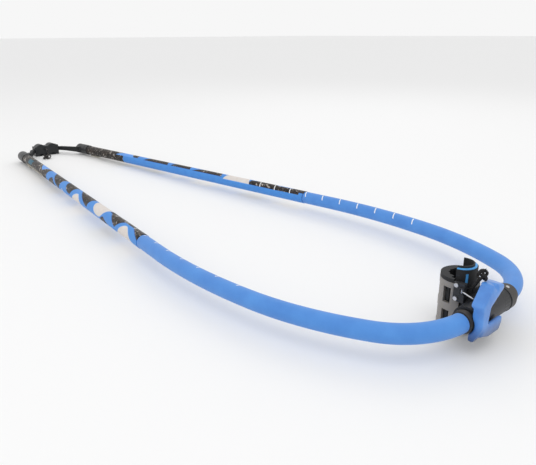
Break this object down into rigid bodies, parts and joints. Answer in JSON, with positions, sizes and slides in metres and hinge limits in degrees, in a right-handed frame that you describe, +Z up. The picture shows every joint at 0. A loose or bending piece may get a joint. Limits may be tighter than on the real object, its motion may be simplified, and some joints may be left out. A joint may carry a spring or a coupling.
{
  "type": "windsurfing boom",
  "caption": "Windsurfing boom: curved wishbone of foam-covered and printed tubes, clamp head with cam lever, sliding tail piece.",
  "frame": {"origin": "centre of the mast clamp, on the plane of the tubes", "axes": "+X from the head to the tail, +Y towards the left arm, +Z up along the mast"},
  "size_m": [1.7703, 0.5134, 0.1093],
  "materials": {
    "tube_black": "satin black tube",
    "grip_foam": "fine foam grip, matt",
    "ring_grey": "moulded",
    "print_tube": "printed pattern of dark camouflage and blue waves",
    "black_plastic": "moulded",
    "clip_plastic": "moulded",
    "black_rubber": "matt",
    "steel": "bright",
    "rope_dark": "braided line",
    "head_plastic": "moulded, glass filled",
    "pad_blue": "matt",
    "jaw_grey": "grey coated casting",
    "lever_blue": "semi gloss"
  },
  "bodies": {
    "frame": {"front_tube": "tube_black", "grip_left": "grip_foam", "grip_right": "grip_foam", "stop_ring_left": "ring_grey", "stop_ring_right": "ring_grey", "rear_tube_left": "print_tube", "rear_tube_right": "print_tube", "end_collar_left": "black_plastic", "end_collar_right": "black_plastic", "tube_bush": "black_rubber"},
    "head": {"head_body": "head_plastic", "barrel_sleeve": "head_plastic", "sleeve_ring": "ring_grey", "mast_pad_core": "pad_blue", "mast_pad_lining": "black_rubber", "mast_pad_skin": "black_rubber", "jaw_pin": "steel", "lever_pin": "steel", "lever_screws": "steel", "clamp_line": "rope_dark", "clamp_knot": "rope_dark"},
    "jaw": {"jaw_shell": "jaw_grey", "jaw_liner": "black_rubber", "jaw_catch": "head_plastic", "catch_screws": "steel"},
    "latch": {"latch_wire": "steel"},
    "lever": {"clamp_lever": "lever_blue"},
    "clip_left": {"lock_clip_left": "clip_plastic"},
    "clip_right": {"lock_clip_right": "clip_plastic"},
    "inner_left": {"inner_tube_left": "tube_black", "tail_plug_left": "black_plastic"},
    "tail": {"tail_block": "black_plastic", "tail_link_left": "black_rubber", "tail_link_right": "black_rubber", "sheave_pins": "steel", "tail_cleat": "black_plastic", "outhaul_line": "rope_dark", "outhaul_knot": "rope_dark"},
    "inner_right": {"inner_tube_right": "tube_black", "tail_plug_right": "black_plastic"},
    "sheave_left": {"tail_sheave_left": "black_plastic"},
    "sheave_right": {"tail_sheave_right": "black_plastic"}
  },
  "joints": [
    {"name": "head_pivot", "type": "hinge", "parent": "frame", "child": "head", "pos_m": [-0.043, 0, 0], "axis": [0, 1, 0], "range_deg": [-75, 75]},
    {"name": "jaw_open", "type": "hinge", "parent": "head", "child": "jaw", "pos_m": [-0.00658, -0.03234, 0], "axis": [0, 0, -1], "range_deg": [0, 70]},
    {"name": "latch_swing", "type": "hinge", "parent": "jaw", "child": "latch", "pos_m": [-0.0213, 0.0336, 0.029], "axis": [0, 0, -1], "range_deg": [0, 60]},
    {"name": "lever_open", "type": "hinge", "parent": "head", "child": "lever", "pos_m": [-0.051, 0, 0.035], "axis": [0, 1, 0], "range_deg": [0, 90]},
    {"name": "clip_left_flex", "type": "hinge", "parent": "frame", "child": "clip_left", "pos_m": [1.48634, 0.11894, -0.0172], "axis": [0.1141, 0.9935, 0], "range_deg": [0, 6], "stiffness_Nm_per_rad": 2},
    {"name": "clip_right_flex", "type": "hinge", "parent": "frame", "child": "clip_right", "pos_m": [1.48634, -0.11894, -0.0172], "axis": [0.1141, -0.9935, 0], "range_deg": [-6, 0], "stiffness_Nm_per_rad": 2},
    {"name": "tail_extend", "type": "slide", "parent": "frame", "child": "inner_left", "axis": [0.9935, -0.1141, 0], "range_m": [0, 0.2]},
    {"name": "tail_centre", "type": "slide", "parent": "inner_left", "child": "tail", "axis": [0, 1, 0], "range_m": [0, 0.02301], "deforming": ["tail_link_left"]},
    {"name": "tail_right", "type": "slide", "parent": "tail", "child": "inner_right", "axis": [0, 1, 0], "range_m": [0, 0.02301], "deforming": ["tail_link_right"]},
    {"name": "sheave_left_spin", "type": "hinge", "parent": "tail", "child": "sheave_left", "pos_m": [1.68133, 0.02, 0], "axis": [0, 1, 0], "continuous": true},
    {"name": "sheave_right_spin", "type": "hinge", "parent": "tail", "child": "sheave_right", "pos_m": [1.68133, -0.02, 0], "axis": [0, 1, 0], "continuous": true}
  ],
  "couplings": [
    {"joint": "tail_centre", "follows": "tail_extend", "ratio": 0.11407},
    {"joint": "tail_right", "follows": "tail_extend", "ratio": 0.11407}
  ]
}
